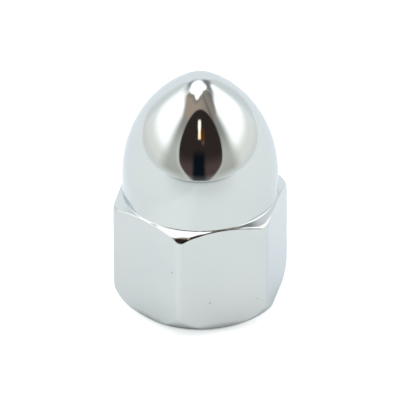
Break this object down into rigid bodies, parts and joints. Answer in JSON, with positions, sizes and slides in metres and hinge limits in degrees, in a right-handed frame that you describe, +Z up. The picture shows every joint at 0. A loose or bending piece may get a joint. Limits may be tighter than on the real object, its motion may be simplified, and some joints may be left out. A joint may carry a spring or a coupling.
{
  "type": "cap nut",
  "caption": "Tall chrome-plated cap nut: a hexagon with polished edges under a pointed dome, with a blind tapped hole and a flat bearing ring below.",
  "frame": {"origin": "centre of the flat bearing ring at the open end, on the axis", "axes": "+Z up the axis, from the open end to the tip of the dome; two of the hexagon's flats face +Y and -Y, and two of its corners lie on +X and -X"},
  "size_m": [0.0194, 0.017, 0.0273],
  "materials": {
    "chrome_plating": "mirror-polished bright chrome plating on steel"
  },
  "bodies": {
    "root": {"cap_nut": "chrome_plating"}
  },
  "joints": []
}
